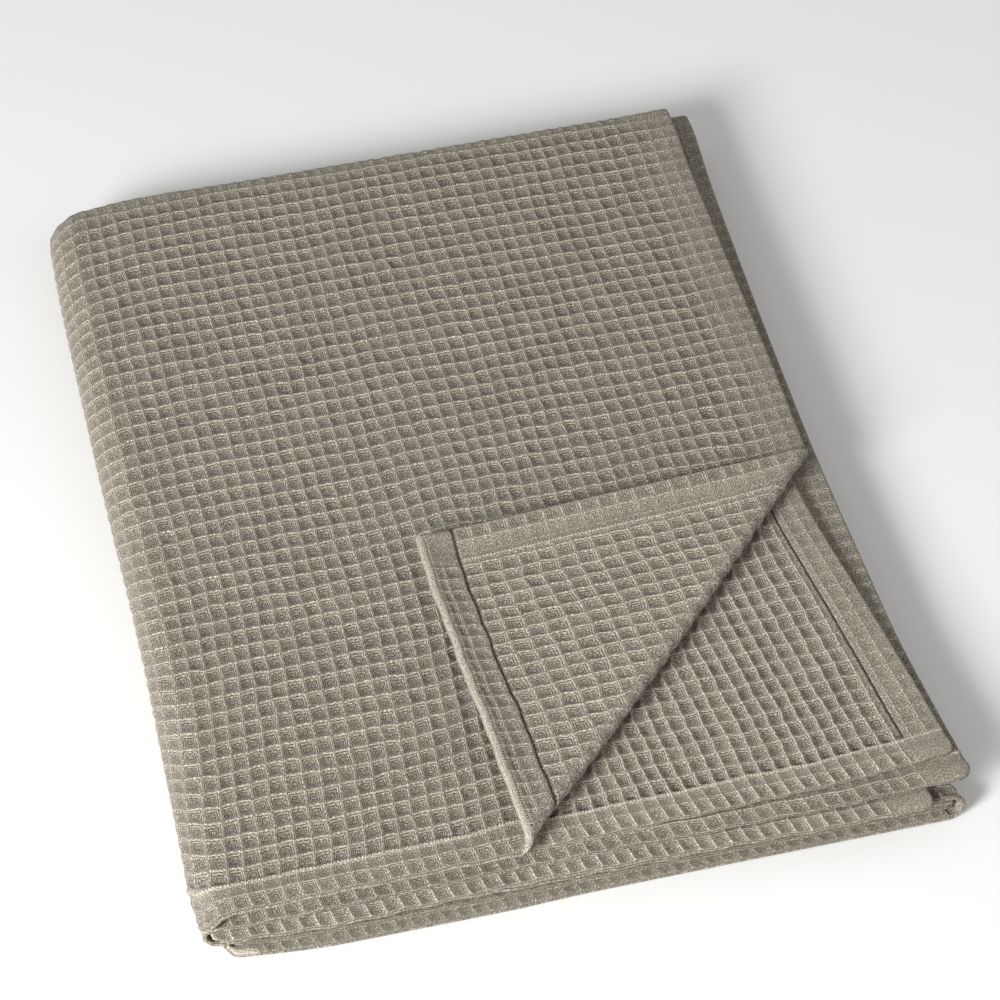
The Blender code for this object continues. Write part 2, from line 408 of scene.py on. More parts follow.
RIDGE_SCALLOP = 0.045  # the ridges between rows arch a little in each cell, in rows
RIDGE_SWAY = 0.030  # and those between columns sway, in columns


def uneven_cell(column, row):
    """The column and the row of a place, with the weave's unevenness."""
    across, along = edge_distance(column, row)
    free = smooth_step(1.5, 4.0, across) * smooth_step(1.0, 3.5, along)
    sway = -RIDGE_SWAY * np.sin(2 * np.pi * row)
    scallop = RIDGE_SCALLOP * (np.abs(np.sin(np.pi * column)) - 0.6)
    wander = [at_node(values, column, row) for values in NODE_WANDER]
    slow = [SLOW_SPREAD * slow_wander(column, row, first) for first in (0, 4)]
    wide, long = rounded_corner(column, row)
    wide = wide + lean(column, row) + free * (wander[0] + slow[0] + sway)
    return wide, long + free * (wander[1] + slow[1] + scallop)


# %% [markdown]
# The hems along the front are stitched through two plies. That draws the weave together, makes
# their edges wave, and lets them hang a little over the layers below. With that, one function
# says where each place of the cloth lies.

# %% Where the cloth lies
FRONT_DROOP = 0.0030
DROOP_RUN = 0.018
EDGE_WANDER = 0.0007
EDGE_LUMPS = 0.0009
FRONT_DRAG = 0.0036  # the hems' outer row is drawn to the right
HEM_TAKE_UP = 0.55  # rows by which the weave is drawn towards the edge
TAKE_UP_ROWS = 2.6
TAKE_UP_FROM = (0.55, 0.70)  # the stations where this begins on the top layer
TOP_LAYER_TO = 1.2  # the last station of the top layer, a little round the left fold
FRONT_HANG = 0.020  # the hems hang forward at the left fold
HANG_RISE, HANG_FALL = (1.00, 1.38), (1.38, 1.62)  # between these stations
HANG_ROWS = 5.0
NEST_SPREAD = 0.010  # the inner left fold comes out at the front
NEST_RUN = 0.035
NEST_RISE, NEST_FALL = (4.3, 5.4), (5.6, 6.7)


def on_top_layer(station, row):
    return (station < TOP_LAYER_TO) & (row < ROWS / 2)


def edge_waves(column, row):
    """The small unevenness of the hems, about -1 to 1, another one on each half of the cloth."""
    half = np.where(row < ROWS / 2, 0.0, 2.1)
    return 0.6 * np.sin(0.83 * column + 1.0 + half) + 0.45 * np.sin(2.17 * column + 0.4 + 2 * half)


def drawn_to_edge(station, row):
    """Rows by which the weave lies nearer to its front edge than even rows would."""
    along = np.minimum(row, ROWS - row)
    share = np.where(on_top_layer(station, row), smooth_step(*TAKE_UP_FROM, station), 1.0)
    return HEM_TAKE_UP * share * smooth_step(0, TAKE_UP_ROWS, along) * (1 - 2 * along / ROWS)


def lie(column, row):
    """Where the middle of the cloth lies, and how far past the crease that is."""
    along = edge_distance(column, row)[1]
    wide, long = uneven_cell(column, row)
    station = station_at(wide)
    drawn = drawn_to_edge(station, row)
    long = long + np.where(row < ROWS / 2, -drawn, drawn)
    flat_rows = (ROWS - FOLD_ROWS) / 2
    depth = np.clip(np.minimum(long, ROWS - long) / flat_rows, 0, 1)
    turn = np.pi * np.clip((long - flat_rows) / FOLD_ROWS, 0, 1)
    front = mix(fronts("outer_front", station), fronts("inner_front", station), (1 - np.cos(turn)) / 2)
    above_lowest = smooth_step(2, 5, np.abs(station - 2.5) * 2)
    front = front + EDGE_WANDER * edge_waves(column, row) * above_lowest
    y = mix(front, fronts("back", station), depth) + LAYER_STEP / 2 * np.sin(turn)
    hang = FRONT_HANG * between(HANG_RISE, HANG_FALL, station)
    y = y - hang * np.clip(1 - along / HANG_ROWS, 0, 1) ** 1.5
    x, level = section(station, np.cos(turn) / 2, y)
    x = x - NEST_SPREAD * between(NEST_RISE, NEST_FALL, station) * np.exp(-(((y - front) / NEST_RUN) ** 2))
    layers = level + LAYERS_BELOW_MIDDLE
    height = layers * LAYER_STEP * fullness(x, y)
    past, bow = past_crease(x, y)
    past = np.where(on_top_layer(station, row), past, -1.0)
    overhang = np.clip(1 - (y - front) / DROOP_RUN, 0, 1) ** 2 * (1 - smooth_step(-0.004, 0.008, past))
    height = height - FRONT_DROOP * overhang * smooth_step(0, 7, layers)
    height = height + EDGE_LUMPS * edge_waves(column + 3, row) * overhang * smooth_step(0, 2, layers)
    x = x + FRONT_DRAG * overhang
    x, y, z = turned_back(x, y, CLOTH / 2 + height, past, bow, y - front, column * CELL_WIDE)
    return np.stack((x, y, z), -1), past


tip = lie(np.zeros(1), np.zeros(1))[0][0] + CENTRE
print("the turned corner's tip lies at", tip.round(3).tolist(), "m")

# %% [markdown]
# Waffle weave has a square pit in each cell. Long floating threads make the ridges between the
# pits, and the threads get shorter towards the pit's middle, so the pit steps down in square
# rings. Hems are two plies pressed together, so their cells are shallower. So are those on the
# folds and on the turned corner's roll, where the cloth is stretched.

# %% How clear the cells are
FACE, BACK = 1, -1
SIDE_HEM, FRONT_HEM = 2.5, 2.0  # how wide the hems are, in cells
OUTER_CELL = (0.95, 1.2)  # the outermost cell of a hem ends softly here
FRONT_HEM_CLEAR = (0.50, 0.85)  # in the inner and in the outer row
SIDE_HEM_CLEAR = 0.50
FRONT_PLY_CLEAR = 0.70  # on the folded ply, which shows on the turned corner
SIDE_PLY_CLEAR = (0.35, 0.90)  # there in the inner and in the outer column
FACE_FADE = (1.0, 4.5)  # on the top face the side hem fades in over these columns
HEM_CORNER_CLEAR = 0.08
LOWEST_EDGE_CLEAR = 0.55
ROLL_CLEAR = 0.25  # on the turned corner's crease


def hem_share(column, row):
    """How much of a place is side hem and front hem, from 0 to 1."""
    across, along = edge_distance(column, row)
    side_hem = 1 - smooth_step(SIDE_HEM - 0.15, SIDE_HEM + 0.1, across)
    front_hem = 1 - smooth_step(FRONT_HEM - 0.12, FRONT_HEM + 0.08, along)
    return side_hem, front_hem


def clear_share(column, row, past, which):
    """How clear the cells are at a place: less on the hems and where the cloth is bent."""
    across, along = edge_distance(column, row)
    side_hem, front_hem = hem_share(column, row)
    outer = on_outer_half(column, row)
    folded_ply, top_face = outer & (which == BACK), outer & (which == FACE)
    in_front = mix(*FRONT_HEM_CLEAR, 1 - smooth_step(*OUTER_CELL, along))
    on_ply = FRONT_PLY_CLEAR * between((0.50, 0.65), (1.55, 1.8), along)
    in_front = np.where(folded_ply, on_ply, in_front)
    on_ply = mix(*SIDE_PLY_CLEAR, 1 - smooth_step(*OUTER_CELL, across))
    in_side = np.where(folded_ply, on_ply, SIDE_HEM_CLEAR)
    side_share = np.where(top_face, 1 - smooth_step(*FACE_FADE, across), side_hem)
    clear = mix(1.0, in_side, side_share) * mix(1.0, in_front, front_hem)
    clear = np.where((side_hem > 0.5) & (front_hem > 0.5), HEM_CORNER_CLEAR, clear)
    lowest_edge = (column > LOWEST_FROM - 4) & (column < LOWEST_TO) & (along < 1.5)
    clear = np.where(lowest_edge, LOWEST_EDGE_CLEAR * clear, clear)
    off_line = smooth_step(0.05, 0.35, np.abs(across - SIDE_HEM))
    clear = clear * np.where(top_face, 1.0, off_line)
    back_bend = np.exp(-(((row - ROWS / 2) / 1.4) ** 2))
    side_bend = np.exp(-(((column - LEFT_FOLD_COLUMN) / 3.0) ** 2))
    clear = clear * (1 - 0.6 * back_bend) * (1 - 0.4 * side_bend)
    return clear * mix(1.0, ROLL_CLEAR, between((-0.008, 0.0), (0.008, 0.016), past))


# %% [markdown]
# The pit's depth is real shape, because the light and the shadow in each cell make the look of
# this cloth. Threads float over the face one way and over the back the other way, so each side
# has its own higher ridges. The pits of the two sides never meet in the cloth.

# %% The pits
PIT = 0.0033
PIT_POWER = 1.5
SQUARE = 7.0
LOW_RIDGE = 0.88  # on the face between columns, and on the back between rows
PIT_LEAST, PIT_MOST = 0.82, 1.12
PIT_VARIETY = dice.uniform(PIT_LEAST, PIT_MOST, (COLUMNS + 2, ROWS + 2))
DEEPEST = (0.86, 0.47)  # shares of the thickness, where one side is seen, and where both are


def seen_share(past, which):
    """0 where the turned corner hides a side of the top layer, and 1 elsewhere."""
    if which == FACE:
        return 1 - smooth_step(0.006, 0.012, past)
    return np.where(past > -0.9, smooth_step(-0.010, -0.002, past), 1.0)


def thickness(column, row):
    """The cloth's thickness, which grows towards the edges of its hems."""
    across, along = edge_distance(column, row)
    at_front = 1 - smooth_step(0.4, FRONT_HEM, along)
    at_side = 1 - smooth_step(0.4, SIDE_HEM, across)
    return mix(CLOTH, HEM_EDGE, np.maximum(at_front, at_side))


def pit_depth(column, row, past, which):
    """How deep the weave goes at a place, under its ridges, but never through the cloth."""
    i, j = cell_at(column, row)
    fx, fy = np.abs(2 * (column - i) - 1), np.abs(2 * (row - j) - 1)
    fx, fy = (LOW_RIDGE * fx, fy) if which == FACE else (fx, LOW_RIDGE * fy)
    ring = np.clip((fx**SQUARE + fy**SQUARE) ** (1 / SQUARE), 0, 1)
    clear = clear_share(column, row, past, which) * seen_share(past, which)
    depth = PIT * clear * PIT_VARIETY[i, j] * (1 - ring**PIT_POWER)
    both_seen = 1 - smooth_step(1.0, 1.3, np.minimum(*edge_distance(column, row)))
    return np.minimum(depth, thickness(column, row) * mix(*DEEPEST, both_seen))


print("the pits are up to", round(CLOTH * DEEPEST[0] * 1000, 1), "mm deep")

# %% [markdown]
# A hem is sewn down with one line of stitches. Where the folded ply lies on top, its edge stands
# up beside the line. Where the thread is pulled tight into the cloth, the line is a groove, and
# small tucks open beside it in the middle of the cells.

# %% The sewn lines
RAISED_SEAM = 0.0009
GROOVE = 0.0018
HEM_SINK = 0.0005
EDGE_ROLL = 0.0010
SEAM_CELLS = 0.10  # half a raised seam's width, in cells
GROOVE_CELLS = 0.07
TUCK = 0.0013
TUCK_AT = 0.27  # cells beyond the front hem's line
TUCK_CELLS = 0.09
TUCK_LEAST = 0.25
TUCK_VARIETY = 3.6


def seams(column, row, which):
    """How much of a place is raised, and how much is sunk, along the sewn lines of the hems.

    The outer half's back shows the folded ply: there the side hem's line is raised and the front
    hem's is sunk. Elsewhere the front hem's line is raised, and the side hem's is sunk, but for
    the outer half's face, where it doesn't show."""
    across, along = edge_distance(column, row)
    outer = on_outer_half(column, row)
    folded_ply = outer & (which == BACK)
    side_cells = np.where(outer, SEAM_CELLS, GROOVE_CELLS)
    front_cells = np.where(folded_ply, GROOVE_CELLS, SEAM_CELLS)
    side_line = np.exp(-(((across - SIDE_HEM) / side_cells) ** 2)) * (along > FRONT_HEM)
    front_line = np.exp(-(((along - FRONT_HEM) / front_cells) ** 2))
    raised = np.maximum(side_line * folded_ply * 0.8, front_line * ~folded_ply)
    raised = raised + folded_ply * (1 - smooth_step(0.42, 0.58, along)) * EDGE_ROLL / RAISED_SEAM
    sunk = np.maximum(side_line * ~outer, front_line * folded_ply)
    in_front = between((0.9, 1.2), (FRONT_HEM, FRONT_HEM + 0.15), along)
    in_side = between((0.9, 1.2), (SIDE_HEM, SIDE_HEM + 0.15), across)
    in_side = in_side * folded_ply * (along > FRONT_HEM)
    sunk = sunk + np.maximum(in_front, in_side) * HEM_SINK / GROOVE
    tuck = np.exp(-(((along - FRONT_HEM - TUCK_AT) / TUCK_CELLS) ** 2)) * np.sin(np.pi * column) ** 2
    uneven = TUCK_LEAST + TUCK_VARIETY * (PIT_VARIETY[cell_at(column, row)[0], 5] - PIT_LEAST)
    sunk = sunk + tuck * uneven * ~folded_ply * (across > SIDE_HEM) * TUCK / GROOVE
    return raised, sunk


# %% [markdown]
# A length of cloth is a net of lines along its columns and rows, with a face side and a back
# side. Where the weave shows, each cell gets five lines each way, close together at the ridges,
# and more beside the sewn lines and over the back fold. At an edge the two sides meet in a round
# rim, so every piece is a closed thin body.

# %% Lines of a net
FINE = (0.0, 0.10, 0.33, 0.67, 0.90)
BACK_BEND = tuple(i / 12 for i in range(12))
BEFORE_SEAM = (0.0, 0.12, 0.35, 0.6, 0.8, 0.93)
AFTER_SEAM = (0.0, 0.07, 0.16, 0.27, 0.42, 0.67, 0.90)
MID_SEAM = (0.0, 0.11, 0.3, 0.43, 0.5, 0.57, 0.7, 0.89)
FRONT_ROWS = [(0, 1, FINE), (1, 2, BEFORE_SEAM), (2, 3, AFTER_SEAM)]


def mirrored(spans, whole):
    """The same spans, counted from the far edge."""
    return [
        (whole - end, whole - start, (0.0, *(1 - part for part in parts[:0:-1])))
        for start, end, parts in reversed(spans)
    ]


MEDIUM = (0.0, 0.2, 0.5, 0.8)
RIM_STEPS = 4
JOIN_EDGE = 0.0006  # thin rims hide the joins between the pieces
BACK_FOLD_TO = 53  # the row where the back fold is past
RIGHT_FOLD_TO = 97  # and the column where the right one is


def net_lines(spans, pitch, first_thick, last_thick):
    """Lines in one direction, as rows of: where it lies, where the weave is read, and its share
    of the cloth's half thickness. The spans are (first cell, end, parts of a cell)."""
    cells = [(i, parts) for start, end, parts in spans for i in range(start, end)]
    found = [(i + part, i + part, 1.0) for i, parts in cells for part in parts]
    for edge, inwards, thick in ((spans[0][0], 1, first_thick), (spans[-1][1], -1, last_thick)):
        radius = thick / 2 / pitch
        found = [line for line in found if (line[0] - edge) * inwards > radius * 1.05]
        for k in range(RIM_STEPS + 1):
            turn = math.pi / 2 * k / RIM_STEPS
            lies = edge + inwards * radius * (1 - math.cos(turn))
            reads = edge + inwards * radius * (turn - math.pi / 2 + 1)
            found.append((lies, reads, math.sin(turn)))
    return np.array(sorted(found))


def cell_starts(lines):
    """The numbers of the lines that cells start at, and the last line's."""
    lies = lines[:, 0]
    return np.flatnonzero(np.abs(lies - np.round(lies)) < 1e-6).tolist()


# %% [markdown]
# Each side of the cloth lies half its thickness from the middle, and the weave goes in from
# there. What the material has to know about a place is kept with the points: how hollow it is,
# how clear its cell is, and whether it is the back or the rim.

# %% The two sides
def net_normals(points):
    """The normals of a net of points, on the face side."""
    normals = np.cross(np.gradient(points, axis=1), np.gradient(points, axis=0))
    return normals / np.maximum(np.linalg.norm(normals, axis=-1, keepdims=True), 1e-12)


def cloth_side(columns, rows, which):
    """The points of one side of a net, and what the material has to know of them."""
    lies = np.meshgrid(columns[:, 0], rows[:, 0], indexing="ij")
    reads = np.meshgrid(columns[:, 1], rows[:, 1], indexing="ij")
    full = columns[:, 2][:, None] * rows[:, 2][None, :]
    middle, past = lie(*lies)
    surface = middle + which * (thickness(*lies) / 2 * full)[..., None] * net_normals(middle)
    raised, sunk = seams(*reads, which)
    pits = pit_depth(*reads, past, which)
    depth = pits + GROOVE * sunk - RAISED_SEAM * raised
    depth = np.where(full > 0, depth * np.clip(full * 1.4, 0, 1), 0.0)
    traits = {
        # the share of the full pit depth, which also sets the pits' painted shade
        "hollow": pits / PIT,
        "clear": clear_share(*reads, past, which),
        "back": np.full_like(depth, which == BACK),
        "rim": 1 - full,
    }
    surface = surface - which * depth[..., None] * net_normals(surface)
    surface[..., 2] = np.maximum(surface[..., 2], 0.0)
    return surface, traits


# %% [markdown]
# Only cells that show get all their small faces. One flat face is enough for a cell inside the
# stack, and it takes in its finer neighbours' points, so that no slit opens.

# %% Faces of a net
def net_faces(starts, fine, ids, which, rim):
    """The faces of one side: small ones in the fine cells, and one in each other cell."""
    faces = []
    columns, rows = starts
    for p, (i0, i1) in enumerate(zip(columns, columns[1:])):
        for q, (j0, j1) in enumerate(zip(rows, rows[1:])):
            if fine[p, q]:
                a = ids[i0:i1, j0:j1].ravel()
                b = ids[i0 + 1:i1 + 1, j0:j1].ravel()
                c = ids[i0 + 1:i1 + 1, j0 + 1:j1 + 1].ravel()
                d = ids[i0:i1, j0 + 1:j1 + 1].ravel()
                order = (a, d, c, b) if which == FACE else (a, b, c, d)
                faces += np.stack(order, -1).tolist()
                continue
            left = rim[p, q] if p == 0 else fine[p - 1, q]
            right = rim[p, q] if p == fine.shape[0] - 1 else fine[p + 1, q]
            near = rim[p, q] if q == 0 else fine[p, q - 1]
            far = rim[p, q] if q == fine.shape[1] - 1 else fine[p, q + 1]
            loop = [*(ids[i0, j0:j1] if left else ids[i0, j0:j0 + 1])]
            loop += [*(ids[i0:i1, j1] if far else ids[i0:i0 + 1, j1])]
            loop += [*(ids[i1, j0 + 1:j1 + 1][::-1] if right else ids[i1, j1:j1 + 1])]
            loop += [*(ids[i0 + 1:i1 + 1, j0][::-1] if near else ids[i1:i1 + 1, j0])]
            loop = [int(i) for i in loop]
            faces.append(loop if which == FACE else loop[::-1])
    return faces


# %% [markdown]
# A piece is the two sides joined at their rims. Each point's place in the weave is its UV map,
# counted in cells, so that the material's threads follow the folds.

# %% A piece of cloth
def new_piece(name, points, faces, places, traits):
    """A smooth mesh that keeps each point's place in the weave and its traits."""
    mesh = bpy.data.meshes.new(name)
    mesh.from_pydata(points.tolist(), [], faces)
    corners = np.empty(len(mesh.loops), np.int32)
    mesh.loops.foreach_get("vertex_index", corners)
    weave = mesh.uv_layers.new(name="weave")
    weave.data.foreach_set("uv", places[corners].astype(np.float32).ravel())
    for trait, values in traits.items():
        kept = mesh.attributes.new(trait, "FLOAT", "POINT")
        kept.data.foreach_set("value", values.astype(np.float32))
    mesh.shade_smooth()
    piece = bpy.data.objects.new(name, mesh)
    bpy.context.scene.collection.objects.link(piece)
    return piece


def piece_of_cloth(name, columns, rows, shows):
    """A closed thin piece of cloth. shows says, for each side, which cells of the net are seen."""
    starts = cell_starts(columns), cell_starts(rows)
    middles = [(lines[s[:-1], 0] + lines[s[1:], 0]) / 2 for lines, s in zip((columns, rows), starts)]
    cells = np.meshgrid(*middles, indexing="ij")
    fine = {which: shows(which, *cells) for which in (FACE, BACK)}
    wide, long = len(columns), len(rows)
    ids = {FACE: np.arange(wide * long).reshape(wide, long)}
    ids[BACK] = ids[FACE] + wide * long
    for edge in (np.s_[0, :], np.s_[-1, :], np.s_[:, 0], np.s_[:, -1]):
        ids[BACK][edge] = ids[FACE][edge]
    points, traits, faces = [], [], []
    for which in (FACE, BACK):
        surface, found = cloth_side(columns, rows, which)
        points.append(surface.reshape(-1, 3))
        traits.append(found)
        faces += net_faces(starts, fine[which], ids[which], which, fine[-which])
    reads = np.stack(np.meshgrid(columns[:, 1], rows[:, 1], indexing="ij"), -1).reshape(-1, 2)
    used, again = np.unique(np.concatenate([np.array(face) for face in faces]), return_inverse=True)
    ends = np.cumsum([len(face) for face in faces])
    faces = [part.tolist() for part in np.split(again, ends[:-1])]
    points = np.concatenate(points)[used] + CENTRE
    traits = {
        trait: np.concatenate([found[trait].ravel() for found in traits])[used]
        for trait in traits[0]
    }
    print(name, "has", sum(len(face) - 2 for face in faces), "triangles")
    return new_piece(name, points, faces, np.concatenate((reads, reads))[used], traits)


# %% [markdown]
# The top layer runs from its right hem over the left fold and a little way under the stack,
# and over the back fold into the gap under it. Its turned corner shows the cloth's back side.

# %% The top layer
UNDER_FLAP = 0.016


def near_edge(column, row, cells=1.0):
    """The outermost cells at the free hems, which are seen on both sides."""
    across, along = edge_distance(column, row)
    return (across < cells) | (along < cells)


def top_shows(which, column, row):
    places, past = lie(column, row)
    if which == BACK:
        return (past > -0.008) | near_edge(column, row)
    x, y = places[..., 0], places[..., 1]
    mirror_x, mirror_y = x - 2 * past * CREASE_ACROSS[0], y - 2 * past * CREASE_ACROSS[1]
    front = fronts("outer_front", np.zeros_like(x) + 0.3)
    covered = (past < -UNDER_FLAP) & (mirror_x < side("first_hem", mirror_y) - UNDER_FLAP)
    covered &= mirror_y > front + UNDER_FLAP
    covered &= station_at(column) < 1
    return ((past < 0.018) & ~covered) | near_edge(column, row)


JOIN_COLUMN = 53  # the pieces meet here under the stack, at BACK_FOLD_TO, and at LOWEST_TO
top_columns = net_lines(
    [(0, 2, FINE), (2, 3, MID_SEAM), (3, JOIN_COLUMN, FINE)],
    CELL_WIDE, HEM_EDGE, JOIN_EDGE,
)
top_rows = net_lines(
    FRONT_ROWS + [(3, 51, FINE), (51, BACK_FOLD_TO, BACK_BEND)],
    CELL_LONG, HEM_EDGE, JOIN_EDGE,
)
top_layer = piece_of_cloth("top_layer", top_columns, top_rows, top_shows)

# %% [markdown]
# The second layer lies right under it, and shows inside the turned corner. It shows its back
# side, where the hem's folded ply is sewn down.

# %% The second layer
def second_shows(which, column, row):
    if which == FACE:
        return near_edge(column, row)
    places = lie(column, row)[0]
    return (past_crease(places[..., 0], places[..., 1])[0] > -0.010) | near_edge(column, row)


second_rows = net_lines(
    [(BACK_FOLD_TO, ROWS - 3, FINE)] + mirrored(FRONT_ROWS, ROWS),
    CELL_LONG, JOIN_EDGE, HEM_EDGE,
)
second_layer = piece_of_cloth("second_layer", top_columns, second_rows, second_shows)

# %% [markdown]
# The other layers show at their front hems, at the back folds and at the right side, where the
# lower four are one more fold. The lowest shows its whole face underneath.

# %% The layers below
def lowest_shows(which, column, row):
    if which == FACE:
        return (row < BACK_FOLD_TO) | near_edge(column, row)
    return near_edge(column, row, 2)


def under_shows(which, column, row):
    across, along = edge_distance(column, row)
    edge = near_edge(column, row)
    third_layer = column > THIRD_LAYER_FROM
    if which == BACK:
        return edge | (along < 3) & third_layer & (row < ROWS / 2)
    right_fold = (column < RIGHT_FOLD_TO) & (row < BACK_FOLD_TO)
    back_fold = (row > 50) & (row < BACK_FOLD_TO)
    return right_fold | back_fold | edge | ((along < 3) | (across < 4)) & third_layer & (row > ROWS / 2)


lowest_columns = net_lines([(JOIN_COLUMN, LOWEST_TO, MEDIUM)], CELL_WIDE, JOIN_EDGE, JOIN_EDGE)
lowest_rows = net_lines(
    [(0, 3, FINE), (3, 51, MEDIUM), (51, 53, BACK_BEND), (53, ROWS - 3, (0.0,)), (ROWS - 3, ROWS, FINE)],
    CELL_LONG, HEM_EDGE, HEM_EDGE,
)
lowest_layers = piece_of_cloth("lowest_layers", lowest_columns, lowest_rows, lowest_shows)

under_columns = net_lines([(LOWEST_TO, COLUMNS, FINE)], CELL_WIDE, JOIN_EDGE, HEM_EDGE)
under_rows = net_lines(
    FRONT_ROWS + [(3, 50, FINE), (50, 53, BACK_BEND), (53, ROWS - 3, FINE)] + mirrored(FRONT_ROWS, ROWS),
    CELL_LONG, HEM_EDGE, HEM_EDGE,
)
under_layers = piece_of_cloth("under_layers", under_columns, under_rows, under_shows)

# %% [markdown]
# The cotton is matt. Its colour is a warm grey that is lighter on the ridges, where the long
# threads lie and a highlight is painted, and darker in the pits, where shade is painted. All of it
# is worked out from the place in the weave, with nodes for arithmetic and soft steps.

# %% Small node helpers
def add_node(tree, kind, inputs=(), **settings):
    """A node with its settings, and with links or values for its inputs."""
    node = tree.nodes.new(kind)
    for name, value in settings.items():
        setattr(node, name, value)
    for key, value in dict(inputs).items():
        if isinstance(value, bpy.types.NodeSocket):
            tree.links.new(value, node.inputs[key])
        else:
            node.inputs[key].default_value = value
    return node


def calc(tree, operation, *values, kind="ShaderNodeMath"):
    """One step of arithmetic, on numbers or on vectors."""
    return add_node(tree, kind, enumerate(values), operation=operation).outputs[0]


def on_vectors(tree, operation, *values):
    return calc(tree, operation, *values, kind="ShaderNodeVectorMath")


def product(tree, first, *others):
    for other in others:
        first = calc(tree, "MULTIPLY", first, other)
    return first


def less(tree, value, taken):
    return calc(tree, "SUBTRACT", value, taken)


def opposite(tree, value):
    """1 where the value is 0, and 0 where it is 1."""
    return less(tree, 1.0, value)


def band(tree, value, low, high, to_low=0.0, to_high=1.0):
    """A value taken smoothly from one range to another."""
    node = add_node(
        tree, "ShaderNodeMapRange",
        {"Value": value, "From Min": low, "From Max": high, "To Min": to_low, "To Max": to_high},
        interpolation_type="SMOOTHSTEP",
    )
    return node.outputs["Result"]


def noise(tree, place, scale, detail):
    return add_node(tree, "ShaderNodeTexNoise", {"Vector": place, "Scale": scale, "Detail": detail})


def new_group(name, values, results):
    """A node group from a place and named values to named results."""
    group = bpy.data.node_groups.new(name, "ShaderNodeTree")
    group.interface.new_socket(name="Place", in_out="INPUT", socket_type="NodeSocketVector")
    for label, value in values.items():
        socket = group.interface.new_socket(name=label, in_out="INPUT", socket_type="NodeSocketFloat")
        socket.default_value = value
    for label in results:
        group.interface.new_socket(name=label, in_out="OUTPUT", socket_type="NodeSocketFloat")
    return group, group.nodes.new("NodeGroupInput").outputs, group.nodes.new("NodeGroupOutput").inputs


# %% [markdown]
# Each cell shows square rings of thread, and on top of them the fluff of single fibres. The
# fibres lie lengthwise along a ridge, so their direction turns by a quarter from one pair of
# sides of the square to the other. The ridges also get a painted highlight. On one side of the
# cloth every second ridge is brighter, partly because its threads float on top and partly as
# painted highlight.

# %% The threads
def waffle_threads():
    """The threads of the waffle weave, from a place counted in cells."""
    group, given, result = new_group(
        "waffle_threads",
        {"Threads": 4.0, "Unevenness": 0.06, "Rim": 0.0, "Back Side": 0.0},
        ("Ridge", "Thread", "Fluff"),
    )
    drift = noise(group, given["Place"], 3.5, 3.0).outputs["Color"]
    drift = on_vectors(group, "SUBTRACT", drift, (0.5, 0.5, 0.5))
    drift = add_node(
        group, "ShaderNodeVectorMath", {0: drift, "Scale": given["Unevenness"]}, operation="SCALE",
    )
    moved = on_vectors(group, "ADD", given["Place"], drift.outputs[0])
    place = add_node(group, "ShaderNodeSeparateXYZ", {0: moved})
    sides = []
    for axis in "XY":
        part = calc(group, "FRACT", place.outputs[axis])
        sides.append(calc(group, "ABSOLUTE", calc(group, "MULTIPLY_ADD", part, 2.0, -1.0)))
    ring = calc(group, "MAXIMUM", *sides)
    turns = product(group, ring, given["Threads"], math.pi)
    grains = []
    for stretch in ((19.0, 7.0, 1.0), (7.0, 19.0, 1.0)):
        grain = noise(group, on_vectors(group, "MULTIPLY", moved, stretch), 1.0, 2.0)
        grains.append(band(group, grain.outputs["Fac"], 0.38, 0.62))
    upright = calc(group, "GREATER_THAN", *sides)
    # Threads lie along a ridge, but across the cloth's rim.
    on_rim = band(group, given["Rim"], 0.05, 0.35)
    lengthwise = calc(group, "ABSOLUTE", less(group, upright, on_rim))
    fluff = add_node(group, "ShaderNodeMix", {0: lengthwise, 2: grains[1], 3: grains[0]})
    # The Ridge result masks the ridges' painted highlight, stronger on every second ridge, and also their
    # bump.
    low_one = calc(group, "ABSOLUTE", less(group, upright, given["Back Side"]))
    bright = calc(group, "MULTIPLY_ADD", low_one, -0.5, 1.05)
    ridge = product(group, band(group, ring, 0.87, 0.98), bright, opposite(group, on_rim))
    group.links.new(ridge, result["Ridge"])
    group.links.new(calc(group, "ABSOLUTE", calc(group, "SINE", turns)), result["Thread"])
    group.links.new(fluff.outputs[0], result["Fluff"])
    return group


# %% [markdown]
# The sewn lines are the same as in the shape, so they are read from the same sizes. A raised
# line gets a painted highlight, with a thin gap between the stitches. A sunk one gets painted
# shade, and so do the small holes beside it, where the tucks open. The front edge of the folded
# ply is a roll with a painted highlight.

# %% The hems' colour
def fold_to_edge(tree, value, whole):
    """The distance to the nearer of two edges, at 0 and at the whole."""
    return calc(tree, "MINIMUM", value, less(tree, whole, value))


